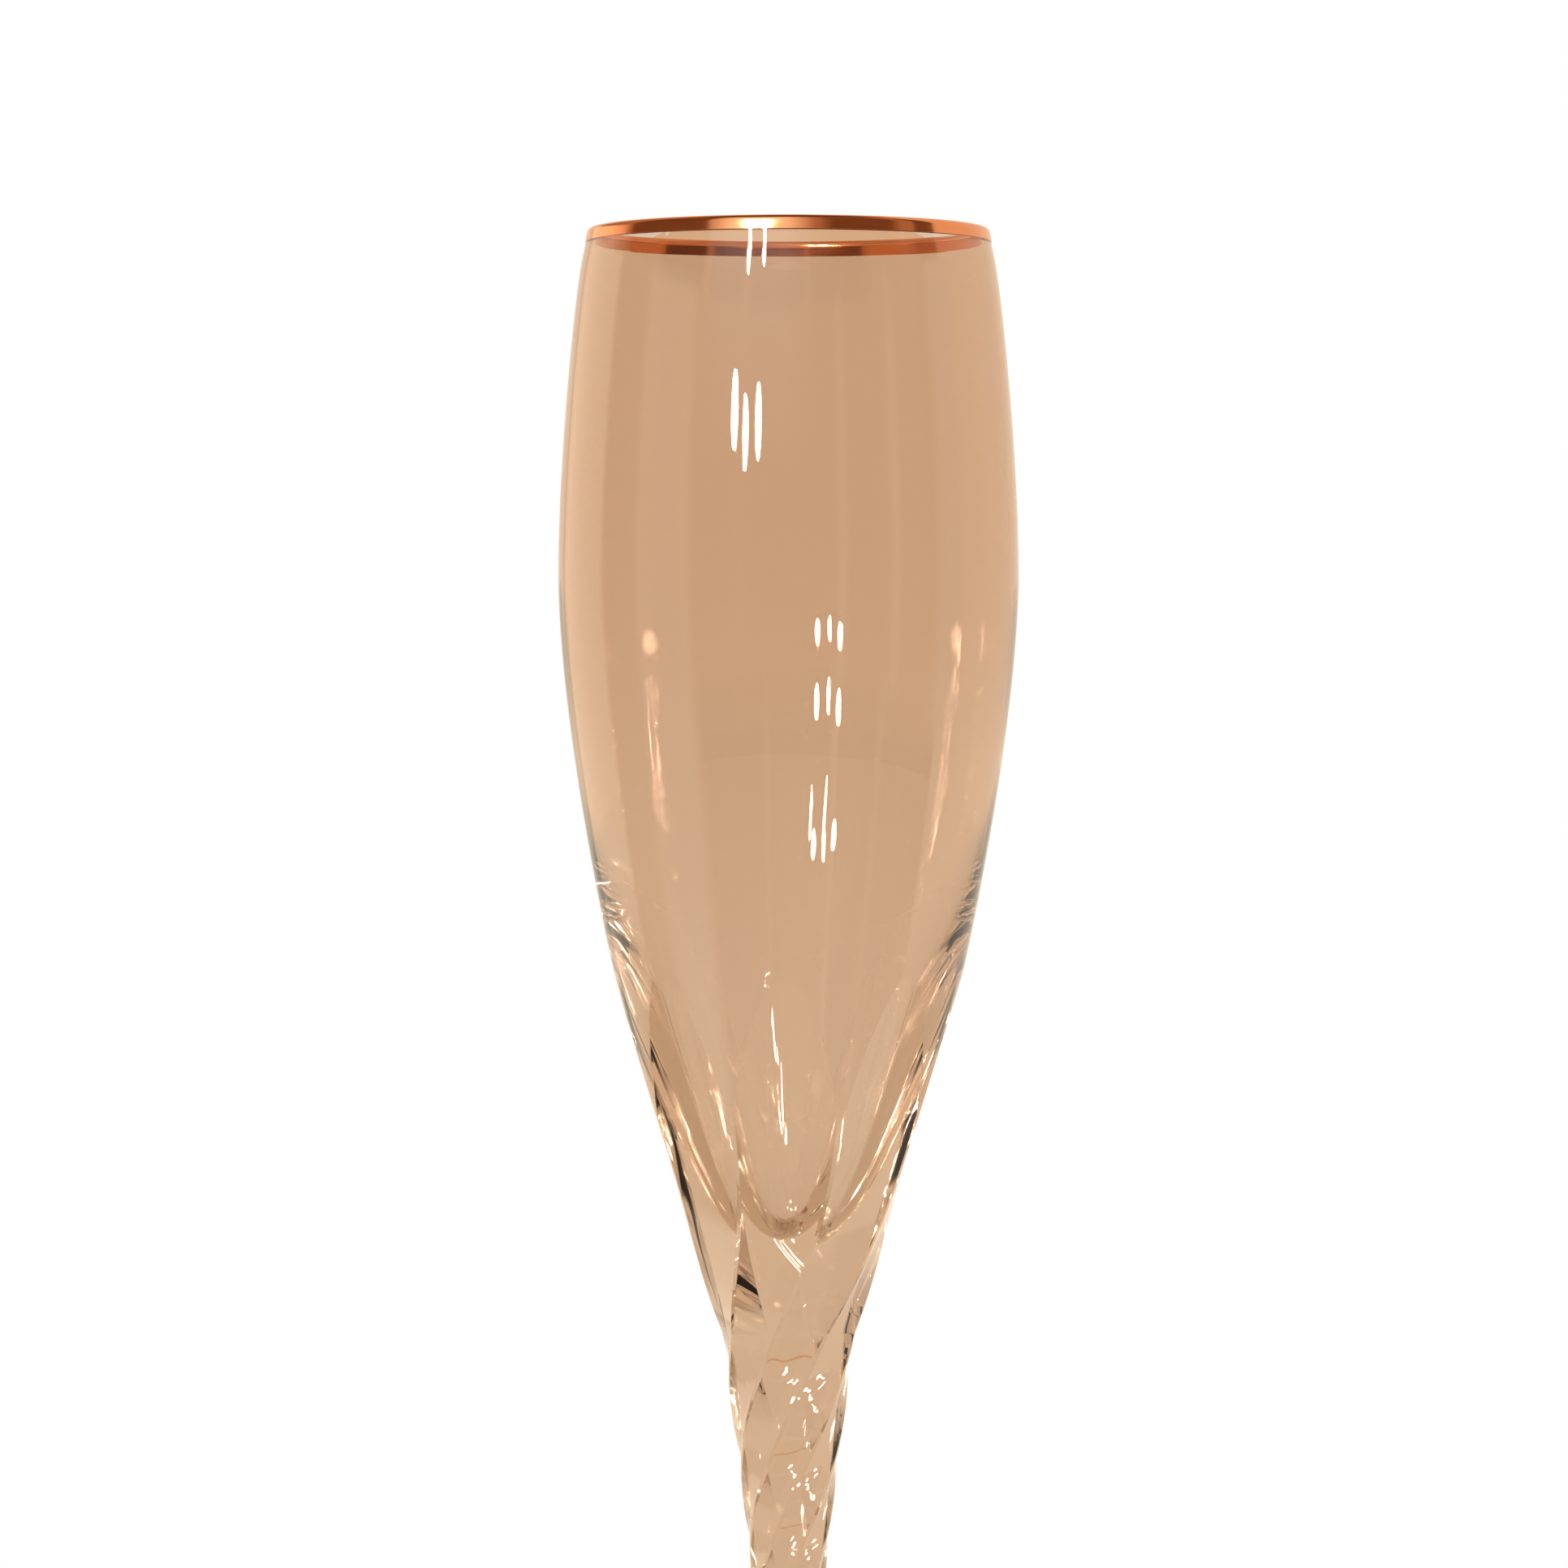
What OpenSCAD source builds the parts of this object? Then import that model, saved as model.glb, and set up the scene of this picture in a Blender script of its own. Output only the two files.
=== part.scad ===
// Champagne flute: a blown bowl on a solid twisted stem and a round foot, with a metal band on the lip.
// The lower bowl and the stem are cut with the same row of flats, which run on from one to the other.
// Millimetres, +Z up. The origin is the centre of the ring that the foot stands on.

/* [Overall] */
// Height of the bowl, from its joint with the stem to the top of the band
bowl_h = 139; // [125:1:165]
// Height of the stem, from its joint with the foot to its joint with the bowl
stem_h = 92; // [70:1:120]
// Height of the foot, up to its joint with the stem
foot_h = 9; // [7:0.5:12]
// Diameter of the foot
foot_d = 68; // [58:1:80]

/* [Bowl] */
// Outside diameter at the lip, over the band
rim_d = 50.8; // [46:0.1:56]
// Outside diameter where the bowl is widest
belly_d = 58; // [54:0.5:66]
// Height of the widest place above the bowl's joint
belly_h = 95.5; // [85:0.5:103]
// Thickness of the blown wall and of the lip
wall = 1.15; // [0.8:0.05:1.6]
// Angle by which the wall leans in at the lip, in degrees
lip_lean = 11.5; // [4:0.5:16]
// Thickness of solid glass between the joint and the cavity's rounded floor
floor_h = 13; // [10:0.5:20]
// Thickness of the wall where the flats run out, measured level
base_wall = 3.3; // [2:0.1:5]
// Slope of the cavity at the same height, in degrees from the upright
cavity_deg = 24; // [18:1:30]

/* [Cut flats] */
// Number of flats round the bowl and the stem
sides = 8; // [6:1:10]
// Height above the joint at which the flats run out on the round wall
cut_h = 45; // [38:1:52]
// Outside diameter of the bowl at that height
cut_d = 43.8; // [38:0.1:48]
// Width across the flats at the joint between bowl and stem
joint_w = 15.9; // [13:0.1:19]
// Angle between a flat and the round wall that it runs out on, in degrees
run_out_deg = 3.8; // [2.5:0.1:6]
// Width of the narrow bevel left along each edge
arris = 0.5; // [0.2:0.05:0.9]
// Angle between the twisted edges and the upright, in degrees
helix_deg = 23; // [0:1:35]
// Height above the joint at which the twist begins
twist_h = 27; // [15:1:34]

/* [Stem] */
// Width across the flats at the stem's thinnest place
waist_w = 6.6; // [5.5:0.1:9]
// Height of the thinnest place above the foot
waist_h = 37; // [28:1:46]
// Slope of the stem just below the bowl, in degrees from the upright
stem_deg = 7.2; // [5:0.1:10]

/* [Foot] */
// Diameter of the joint between stem and foot
boss_d = 13; // [11:0.5:16]
// Thickness of the foot at its edge
foot_edge = 1.8; // [1.4:0.1:3]
// Width of the flat ring that the foot stands on
rest_w = 3.5; // [2:0.5:6]
// Rise of the hollow inside that ring
kick = 1.4; // [0.6:0.1:2]

/* [Rim band] */
// Depth of the band on the outside of the lip
band_out = 1.9; // [1:0.05:3]
// Depth of the band on the inside of the lip
band_in = 1.8; // [1:0.05:3]
// Thickness of the band
band_t = 0.1; // [0.05:0.05:0.3]

/* [Hidden] */
$fn = 96;

// Straight stretch of wall below the lip, which the band lies on
lip_straight = 3.5;
// Steps in each curve and in the lip's rounding
curve_steps = 14;
lip_steps = 10;
// Twisted rings in the bowl's base and in the two halves of the stem
base_rings = 14;
taper_rings = 34;
flare_rings = 22;
// The stem's lowest stretch, over which its flats and its twist fade into a round column
fade_h = 18;
fade_grow = 1.6;

// How far each curve keeps to the direction of its end, as a share of its height
blown_pull = 0.16;
belly_low_pull = 0.32;
belly_high_pull = 0.36;
lip_pull = 0.12;
cavity_pull = 0.35;
tip_pull = 0.45;
taper_pull = 0.45;
waist_high_pull = 0.33;
waist_low_pull = 0.43;
foot_joint_pull = 0.27;
// How far the cavity's rounded floor reaches out
floor_reach = 6.5;
// Handles of the foot's curves: the column's sweep, the foot's top and the hollow under it
neck_in = 1.6;
neck_low = 3;
neck_high = 8;
sweep_out = 2.2;
sweep_down = 4.4;
skirt_out = 9;
skirt_up = 1.2;
hollow_edge = 3;
hollow_mid_r = 10;
// Reach of the flats' solid above the lip
flats_over = 10;

// Heights above the table
foot_joint_z = foot_h;
bowl_joint_z = foot_h + stem_h;
waist_z = foot_joint_z + waist_h;
floor_z = bowl_joint_z + floor_h;
twist_z = bowl_joint_z + twist_h;
cut_z = bowl_joint_z + cut_h;
belly_z = bowl_joint_z + belly_h;
height = bowl_joint_z + bowl_h;

belly_r = belly_d / 2;
cut_r = cut_d / 2;
joint_r = joint_w / 2;
waist_r = waist_w / 2;
boss_r = boss_d / 2;
foot_r = foot_d / 2;
half_turn = 180 / sides;

// Slopes of the flats and of the round wall that they cut away, below their run-out
cut_deg = atan((cut_r - joint_r) / cut_h);
blown_deg = cut_deg - run_out_deg;
blank_r = cut_r - tan(blown_deg) * cut_h;

// Middle of the lip's rounding, and the directions along the wall and out of it there
lip_mid = [rim_d / 2 - (wall / 2 + band_t) * cos(lip_lean), height - band_t - wall / 2];
lip_up = [-sin(lip_lean), cos(lip_lean)];
lip_out = [cos(lip_lean), sin(lip_lean)];

function smooth(t) = let (s = min(1, max(0, t))) s * s * (3 - 2 * s);
function bezier(p, n) = [for (i = [0 : n]) let (t = i / n, u = 1 - t)
    u * u * u * p[0] + 3 * u * u * t * p[1] + 3 * u * t * t * p[2] + t * t * t * p[3]];
function reversed(list) = [for (i = [len(list) - 1 : -1 : 0]) list[i]];
function tail(list) = [for (i = [1 : len(list) - 1]) list[i]];

// An open outline moved sideways by d, to the right of its direction of travel
function shifted(pts, d) = [for (i = [0 : len(pts) - 1])
    let (a = pts[max(0, i - 1)], b = pts[min(len(pts) - 1, i + 1)], v = (b - a) / norm(b - a))
    pts[i] + d * [v[1], -v[0]]];

// A point on the lip's straight wall: down from the lip's middle, and out from the wall's middle
function lip_point(down, out) = lip_mid - down * lip_up + out * lip_out;

// The lip's rounding at a distance out from the wall's middle, from the outside over to the inside
function lip_arc(out) = [for (i = [0 : lip_steps]) let (a = lip_lean + 180 * i / lip_steps)
    lip_mid + out * [cos(a), sin(a)]];

// The bowl's outside from the flats' upper end to the lip's straight stretch
lip_start = lip_point(lip_straight, wall / 2);
lower_rise = belly_z - cut_z;
upper_rise = lip_start[1] - belly_z;
lower_wall = bezier([
    [cut_r, cut_z],
    [cut_r, cut_z] + blown_pull * lower_rise * [tan(blown_deg), 1],
    [belly_r, belly_z - belly_low_pull * lower_rise],
    [belly_r, belly_z]
], curve_steps);
upper_wall = bezier([
    [belly_r, belly_z],
    [belly_r, belly_z + belly_high_pull * upper_rise],
    lip_start - lip_pull * upper_rise * lip_up,
    lip_start
], curve_steps);

// The cavity: one wall thickness inside from the lip to the widest place, then a wall that grows
// thicker towards the cut, then the tip with its rounded floor
inside = shifted(upper_wall, -wall);
cavity_mid = [cut_r - base_wall, cut_z];
inner_wall = bezier([
    inside[0],
    inside[0] - [0, cavity_pull * lower_rise],
    cavity_mid + cavity_pull * lower_rise * [tan(cavity_deg), 1],
    cavity_mid
], curve_steps);
tip_fall = cut_z - floor_z;
tip = bezier([
    cavity_mid,
    cavity_mid - tip_pull * tip_fall * [tan(cavity_deg), 1],
    [floor_reach, floor_z],
    [0, floor_z]
], curve_steps);

bowl_section = concat(
    [[0, bowl_joint_z], [blank_r, bowl_joint_z]],
    lower_wall,
    tail(upper_wall),
    lip_arc(wall / 2),
    reversed(inside),
    tail(inner_wall),
    tail(tip)
);

// Stations down the cut: half the width across the flats, and the height
base_stations = [for (i = [0 : base_rings]) let (rise = twist_h * (1 - i / base_rings))
    [joint_r + rise * tan(cut_deg), bowl_joint_z + rise]];
taper_fall = bowl_joint_z - waist_z;
taper_stations = bezier([
    [joint_r, bowl_joint_z],
    [joint_r, bowl_joint_z] - taper_pull * taper_fall * [tan(stem_deg), 1],
    [waist_r, waist_z + waist_high_pull * taper_fall],
    [waist_r, waist_z]
], taper_rings);
flare_stations = bezier([
    [waist_r, waist_z],
    [waist_r, waist_z - waist_low_pull * waist_h],
    [waist_r, foot_joint_z + foot_joint_pull * waist_h],
    [boss_r + fade_grow, foot_joint_z]
], flare_rings);
stem_stations = concat(taper_stations, tail(flare_stations));
stations = concat(base_stations, tail(stem_stations));

// Twist in degrees per millimetre of height: the edges keep one slope, and the twist fades at both ends
function twist_rate(flat_r, z) = tan(helix_deg) / flat_r * 180 / PI
    * smooth((twist_z - z) / twist_h) * smooth((z - foot_joint_z) / fade_h);
function step_turn(i) = let (a = stations[i], b = stations[i + 1])
    twist_rate((a[0] + b[0]) / 2, (a[1] + b[1]) / 2) * (b[1] - a[1]);
turns = [for (
    i = 0, sum = 0;
    i < len(stations);
    sum = sum + (i < len(stations) - 1 ? step_turn(i) : 0), i = i + 1
) sum];

// One ring of the cut: two ends for each flat, with the narrow bevel between one flat and the next
function ring(flat_r, z, turn) = let (h = flat_r * tan(half_turn) - arris / 2 / cos(half_turn))
    [for (k = [0 : sides - 1], end = [-1, 1]) let (a = turn + 2 * half_turn * k - 90)
        [flat_r * cos(a) - end * h * sin(a), flat_r * sin(a) + end * h * cos(a), z]];
function station_ring(i) = ring(stations[i][0], stations[i][1], turns[i]);

// A solid through a row of rings, given from the top one down
module through_rings(rings) {
    n = len(rings[0]);
    last = len(rings) - 1;
    points = [for (r = rings) each r];
    walls = [for (i = [0 : last - 1], k = [0 : n - 1])
        let (a = i * n + k, b = i * n + (k + 1) % n) each [[a, b, a + n], [b, b + n, a + n]]];
    polyhedron(
        points = points,
        faces = concat([[for (k = [n - 1 : -1 : 0]) k]], walls, [[for (k = [0 : n - 1]) last * n + k]])
    );
}

// The flats carried up past the lip, so that they leave the round wall alone above their run-out
module bowl_flats() {
    top_z = height + flats_over;
    top_r = cut_r + tan(cut_deg) * (top_z - cut_z);
    rings = concat([ring(top_r, top_z, 0)], [for (i = [0 : base_rings]) station_ring(i)]);
    through_rings(rings);
}

module bowl() {
    color([0.87, 0.70, 0.55, 0.5])
        intersection() {
            rotate_extrude() polygon(bowl_section);
            bowl_flats();
        }
}

// The round column that the stem's flats run out on, just above the foot
module stem_column() {
    neck_r = waist_r + fade_grow;
    sweep = bezier([
        [boss_r, foot_joint_z],
        [boss_r - neck_in, foot_joint_z + neck_low],
        [neck_r, foot_joint_z + neck_high],
        [neck_r, foot_joint_z + fade_h]
    ], curve_steps);
    rotate_extrude()
        polygon(concat([[0, foot_joint_z]], sweep, [[blank_r, bowl_joint_z], [0, bowl_joint_z]]));
}

module stem() {
    first = base_rings;
    color([0.85, 0.68, 0.53, 0.6])
        intersection() {
            through_rings([for (i = [first : len(stations) - 1]) station_ring(i)]);
            stem_column();
        }
}

module foot() {
    edge_r = foot_edge / 2;
    rest_r = foot_r - edge_r;
    top = bezier([
        [boss_r, foot_joint_z],
        [boss_r + sweep_out, foot_joint_z - sweep_down],
        [boss_r + skirt_out, foot_edge + skirt_up],
        [rest_r, foot_edge]
    ], curve_steps);
    edge = [for (i = [1 : lip_steps]) let (a = 90 - 180 * i / lip_steps)
        [rest_r + edge_r * cos(a), edge_r + edge_r * sin(a)]];
    hollow = bezier([
        [rest_r - rest_w, 0],
        [rest_r - rest_w - hollow_edge, 0],
        [hollow_mid_r, kick],
        [0, kick]
    ], curve_steps);
    color([0.87, 0.72, 0.58, 0.5])
        rotate_extrude()
            polygon(concat([[0, foot_joint_z]], top, edge, hollow));
}

module rim_band() {
    reach_out = band_out - wall / 2 - band_t;
    reach_in = band_in - wall / 2 - band_t;
    under = concat(
        [lip_point(reach_out, wall / 2)],
        lip_arc(wall / 2),
        [lip_point(reach_in, -wall / 2)]
    );
    over = concat(
        [lip_point(reach_out, wall / 2 + band_t)],
        lip_arc(wall / 2 + band_t),
        [lip_point(reach_in, -wall / 2 - band_t)]
    );
    color([0.80, 0.45, 0.24])
        rotate_extrude()
            polygon(concat(under, reversed(over)));
}

bowl();
stem();
foot();
rim_band();
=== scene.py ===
# %% [markdown]
# # A champagne flute
# This lesson builds one stemmed glass. The real one is four pieces: a blown bowl with a thick cut base, a solid
# twisted stem, a round foot, and a copper-gold band fired onto the lip. Glass shows every facet of a coarse mesh,
# because it bends the light behind it, so each piece is made again here as a fine smooth mesh. The CAD frame
# still fixes every place and size: the script reads the frame first and builds inside it.

# %% Load the frame
import math

import bpy
import numpy as np
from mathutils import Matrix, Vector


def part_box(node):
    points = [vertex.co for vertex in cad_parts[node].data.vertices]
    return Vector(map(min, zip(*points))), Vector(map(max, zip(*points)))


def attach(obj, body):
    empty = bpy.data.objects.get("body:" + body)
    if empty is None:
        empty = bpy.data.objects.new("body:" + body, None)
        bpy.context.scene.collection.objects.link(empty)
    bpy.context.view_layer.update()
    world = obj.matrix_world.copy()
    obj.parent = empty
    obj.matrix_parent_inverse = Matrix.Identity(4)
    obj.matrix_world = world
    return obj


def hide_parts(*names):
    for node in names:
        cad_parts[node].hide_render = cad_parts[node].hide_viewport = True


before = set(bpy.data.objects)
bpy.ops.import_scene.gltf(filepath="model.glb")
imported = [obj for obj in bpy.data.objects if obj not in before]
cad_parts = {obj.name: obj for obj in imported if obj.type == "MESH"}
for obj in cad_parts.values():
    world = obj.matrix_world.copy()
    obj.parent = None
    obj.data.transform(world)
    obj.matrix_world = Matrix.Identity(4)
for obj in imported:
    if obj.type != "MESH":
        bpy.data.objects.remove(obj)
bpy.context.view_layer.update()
print("nodes:", ", ".join(sorted(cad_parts)))

# %% [markdown]
# The heights and the largest radii come from the boxes of the CAD nodes. The sizes that a box can't give, such
# as a wall, a slope or a bevel, repeat the design's values. Everything is in metres and radians.

# %% Sizes from the frame
bowl_low, bowl_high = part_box("bowl")
stem_low, stem_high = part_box("stem")
foot_low, foot_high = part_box("foot")
band_low, band_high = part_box("rim_band")

height = band_high[2]
belly_r = bowl_high[0]
foot_r = foot_high[0]
foot_joint_z = foot_high[2]
bowl_joint_z = bowl_low[2]
print(f"height {height:.4f}, belly {2 * belly_r:.4f}, foot {2 * foot_r:.4f}, standing at {foot_low[2]:.4f}")
print(f"stem from {stem_low[2]:.4f} to {stem_high[2]:.4f}, band {band_high[2] - band_low[2]:.4f} deep")

# %% Sizes of the bowl and its band
wall = 0.00115
lip_lean = math.radians(11.5)
lip_straight = 0.0035
belly_z = bowl_joint_z + 0.0955
floor_z = bowl_joint_z + 0.013
base_wall = 0.0033
cavity_slope = math.radians(24)
floor_reach = 0.0065
band_t = 0.0001
band_out = 0.0019
band_in = 0.0018
lip_r = 0.0254
lip_mid_r = lip_r - (wall / 2 + band_t) * math.cos(lip_lean)
print(f"cavity {height - floor_z:.4f} deep, lip {2 * lip_mid_r + wall:.4f} across")

# %% Sizes of the cut flats
flats = 8
half_turn = math.pi / flats
cut_h = 0.045
cut_z = bowl_joint_z + cut_h
cut_r = 0.0219
joint_r = 0.00795
run_out = math.radians(3.8)
arris = 0.0005
helix = math.radians(23)
twist_z = bowl_joint_z + 0.027
cut_slope = math.atan((cut_r - joint_r) / cut_h)
blown_slope = cut_slope - run_out
print(f"flats lean {math.degrees(cut_slope):.1f} degrees, the round wall {math.degrees(blown_slope):.1f}")

# %% Sizes of the stem and the foot
waist_r = 0.0033
waist_h = 0.037
waist_z = foot_joint_z + waist_h
stem_slope = math.radians(7.2)
fade_h = 0.018
fade_grow = 0.0016
boss_r = 0.0065
foot_edge = 0.0018
rest_w = 0.0035
kick = 0.0014
print(f"stem {2 * waist_r:.4f} across its waist, {waist_z:.4f} up")

# %% [markdown]
# Every outline on this glass is a smooth sweep, so a cubic curve with two handles draws each one. Where a handle
# follows the glass up or down, its "pull" is how far it reaches, as a share of the curve's height. A second helper
# moves an outline sideways by the wall's thickness, and a third makes a ramp for what fades in or out.

# %% Helpers for outlines
def bezier(p, steps=60):
    """Points of a cubic curve, one row each."""
    p = np.array(p, float)
    t = np.linspace(0, 1, steps + 1)[:, None]
    u = 1 - t
    return u**3 * p[0] + 3 * u * u * t * p[1] + 3 * u * t * t * p[2] + t**3 * p[3]


def shifted(line, d):
    """An open outline moved to the right of its direction of travel."""
    along = np.gradient(line, axis=0)
    along /= np.linalg.norm(along, axis=1)[:, None]
    return line + d * np.stack([along[:, 1], -along[:, 0]], axis=1)


def smooth(t):
    """A ramp from 0 to 1 that starts and ends gently."""
    t = np.clip(t, 0, 1)
    return t * t * (3 - 2 * t)


print("a ramp at a quarter of its way:", smooth(0.25))

# %% [markdown]
# The lip is round on top, where a flame melted it, and the short wall below it is straight and leans inward. The
# same few points serve twice: at half the wall's thickness they are the glass, and a little further out the band.

# %% The lip
lip_mid = np.array([lip_mid_r, height - band_t - wall / 2])
lip_up = np.array([-math.sin(lip_lean), math.cos(lip_lean)])
lip_out = np.array([math.cos(lip_lean), math.sin(lip_lean)])


def lip_point(down, out):
    """A point on the lip's straight wall, down from the lip's middle and out from the wall's middle."""
    return lip_mid - down * lip_up + out * lip_out


def lip_arc(out, steps=16):
    """The lip's rounding, from the outside over to the inside."""
    a = lip_lean + np.linspace(0, math.pi, steps + 1)
    return lip_mid + out * np.stack([np.cos(a), np.sin(a)], axis=1)


def lip_wall(out, steps=8):
    """The straight wall below the lip. Its points crowd towards the rounding, which keeps the shading true."""
    down = lip_straight * np.linspace(1, 0, steps + 1)[1:-1] ** 2
    return np.array([lip_point(d, out) for d in down])


print(f"lip {height - lip_point(lip_straight, 0)[1]:.4f} deep")

# %% [markdown]
# The bowl's outside goes on from the cut base at the slope the blower gave it, stands upright at its widest place
# and leans in to the lip. Two curves that share an upright tangent there give it without a seam.

# %% Outline of the bowl
blown_pull, belly_low_pull = 0.16, 0.32
belly_high_pull, lip_pull = 0.36, 0.12
lip_start = lip_point(lip_straight, wall / 2)
lower_rise = belly_z - cut_z
upper_rise = lip_start[1] - belly_z
lower_wall = bezier([
    [cut_r, cut_z],
    [cut_r + blown_pull * lower_rise * math.tan(blown_slope), cut_z + blown_pull * lower_rise],
    [belly_r, belly_z - belly_low_pull * lower_rise],
    [belly_r, belly_z],
])
upper_wall = bezier([
    [belly_r, belly_z],
    [belly_r, belly_z + belly_high_pull * upper_rise],
    lip_start - lip_pull * upper_rise * lip_up,
    lip_start,
], steps=45)
outside = np.concatenate([lower_wall, upper_wall[1:], lip_wall(wall / 2)])
print(f"outside: {len(outside)} points")

# %% [markdown]
# The bowl's inside runs one thin wall in from the lip down to the widest place. Below that the blower left more
# and more glass, so the cavity narrows faster than the outside does and ends in a small rounded floor.

# %% Outline of the cavity
cavity_pull, tip_pull = 0.35, 0.45
inside = shifted(upper_wall, -wall)
cavity_mid = np.array([cut_r - base_wall, cut_z])
cavity_fall = np.array([math.tan(cavity_slope), 1])
tip_fall = cut_z - floor_z
inner_wall = bezier([
    inside[0],
    inside[0] - [0, cavity_pull * lower_rise],
    cavity_mid + cavity_pull * lower_rise * cavity_fall,
    cavity_mid,
])
tip = bezier([
    cavity_mid,
    cavity_mid - tip_pull * tip_fall * cavity_fall,
    [floor_reach, floor_z],
    [0, floor_z],
])
cavity = np.concatenate([lip_wall(-wall / 2)[::-1], inside[::-1], inner_wall[1:], tip[1:]])
print(f"cavity: {len(cavity)} points")

# %% [markdown]
# Eight flats are ground into the bowl's base, and the same eight run on down the stem, where they twist. Seen
# from above, the cut is an octagon with its corners taken off by a narrow bevel. Two numbers describe it at each
# height: the octagon's radius, and how far it has turned. The edges keep one slope, so a thin place turns
# faster than a thick one.

# %% Course of the flats
def twist_rate(flat_r, z):
    """Turn for each metre of height."""
    fade_in = smooth((twist_z - z) / (twist_z - bowl_joint_z))
    fade_out = smooth((z - foot_joint_z) / fade_h)
    return math.tan(helix) / flat_r * fade_in * fade_out


BASE_STEPS = 90
taper_pull = 0.45
waist_high_pull, waist_low_pull = 0.33, 0.43
foot_joint_pull = 0.27
rise = np.linspace(cut_h, 0, BASE_STEPS + 1)[:, None]
base = np.concatenate([joint_r + rise * math.tan(cut_slope), bowl_joint_z + rise], axis=1)
taper_fall = bowl_joint_z - waist_z
taper = bezier([
    [joint_r, bowl_joint_z],
    [joint_r - taper_pull * taper_fall * math.tan(stem_slope), bowl_joint_z - taper_pull * taper_fall],
    [waist_r, waist_z + waist_high_pull * taper_fall],
    [waist_r, waist_z],
], steps=110)
flare = bezier([
    [waist_r, waist_z],
    [waist_r, waist_z - waist_low_pull * waist_h],
    [waist_r, foot_joint_z + foot_joint_pull * waist_h],
    [boss_r + fade_grow, foot_joint_z],
], steps=70)
cut_line = np.concatenate([base, taper[1:], flare[1:]])
middle = (cut_line[1:] + cut_line[:-1]) / 2
small_turns = twist_rate(middle[:, 0], middle[:, 1]) * np.diff(cut_line[:, 1])
turns = np.concatenate([[0], np.cumsum(small_turns)])
print(f"the flats turn {math.degrees(-turns[-1]):.0f} degrees on the way down")

# %% [markdown]
# A row is one ring of the mesh: its radius, its height, the octagon's radius and turn there, and whether it lies
# on the outer skin. Only the outer skin gets a painted tint, which stands in for the backdrop seen through the
# clear glass, so the inside of the cavity gets 0. Where there is no cut, the octagon's radius is a metre, far
# outside the glass.

# %% Rows of a piece
NO_CUT = 1.0


def plain_rows(line, skin=1.0):
    """Rows that no flat reaches."""
    n = len(line)
    return np.stack([line[:, 0], line[:, 1], np.full(n, NO_CUT), np.zeros(n), np.full(n, skin)], axis=1)


def cut_rows(line):
    """Rows of the outer skin that the flats cut."""
    up = cut_line[::-1, 1]
    flat_r = np.interp(line[:, 1], up, cut_line[::-1, 0])
    turn = np.interp(line[:, 1], up, turns[::-1])
    return np.stack([line[:, 0], line[:, 1], flat_r, turn, np.ones(len(line))], axis=1)


print("row of the widest place:", plain_rows(upper_wall[:1])[0].round(4))

# %% [markdown]
# The mesh starts as a round blank, as the real glass does before it goes to the cutter. Each vertex already
# knows which flat it will belong to and how far across that flat it sits. The columns crowd towards each edge of
# a flat, so that the edge stays crisp and the middle of the flat stays truly flat.

# %% Columns of a blank
ACROSS = 14
BETWEEN = 5


def columns():
    """The flat that each column faces, and its place across: -1 to 1 on the flat, up to 2 on the bevel."""
    on_flat = np.sin(np.linspace(-1, 1, ACROSS + 1) * math.pi / 2)
    off_flat = 1 + np.linspace(0, 1, BETWEEN + 1)[1:] ** 1.5
    across = np.concatenate([on_flat, off_flat, -off_flat[-2::-1]])
    next_flat = np.arange(len(across)) >= len(on_flat) + len(off_flat)
    facing = [(k + next_flat) * 2 * half_turn - math.pi / 2 for k in range(flats)]
    return np.concatenate(facing), np.tile(across, flats)


print("columns:", len(columns()[0]))


# %% [markdown]
# The blank is a stack of those rows, closed at each end by a fan of triangles round one vertex on the axis. What
# the cutter has to know is stored on the vertices as attributes, and the faces to be fused are marked.

# %% A round blank
ON_AXIS = 1e-9


def blank(name, rows, joints):
    """A closed mesh through the rows, from one pole to the other. The strips named in joints are fused faces."""
    facing, across = columns()
    n = len(across)
    angle = facing + across * half_turn / 2
    verts, values, start = [], [], []
    for radius, z, flat_r, turn, skin in rows:
        start.append(len(verts))
        count = 1 if radius < ON_AXIS else n
        verts += [(radius * math.cos(a), radius * math.sin(a), z) for a in angle[:count]]
        values += [(facing[c], across[c], flat_r, turn, skin) for c in range(count)]
    faces, fused = [], []
    for i, (a, b) in enumerate(zip(start[:-1], start[1:])):
        for c in range(n):
            d = (c + 1) % n
            if b - a == 1:
                faces.append((a, b + d, b + c))
            elif i == len(rows) - 2 and len(verts) - b == 1:
                faces.append((a + c, a + d, b))
            else:
                faces.append((a + c, a + d, b + d, b + c))
            fused.append(i in joints)
    mesh = bpy.data.meshes.new(name)
    mesh.from_pydata(verts, [], faces)
    # The last attribute marks the outer skin, where a tint is painted to stand in for the backdrop seen through
    # the glass.
    for k, label in enumerate(["facing", "across", "flat_radius", "turn", "painted_tint_mask"]):
        layer = mesh.attributes.new(label, "FLOAT", "POINT")
        layer.data.foreach_set("value", np.array(values, np.float32)[:, k].copy())
    layer = mesh.attributes.new("fused", "BOOLEAN", "FACE")
    layer.data.foreach_set("value", fused)
    mesh.shade_smooth()
    obj = bpy.data.objects.new(name, mesh)
    bpy.context.scene.collection.objects.link(obj)
    return obj


# %% [markdown]
# Geometry Nodes then do the cutting. One rule moves every vertex: it keeps its height, turns with the twist, and
# comes in to the nearer of the round blank and the flat. Where the blank is inside the flat nothing changes, and
# that gives the arched ends of the flats on the bowl with no further work. The tree also puts the glass on the
# outside and a clear finish on the fused faces, where the real glass is one mass.

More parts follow.
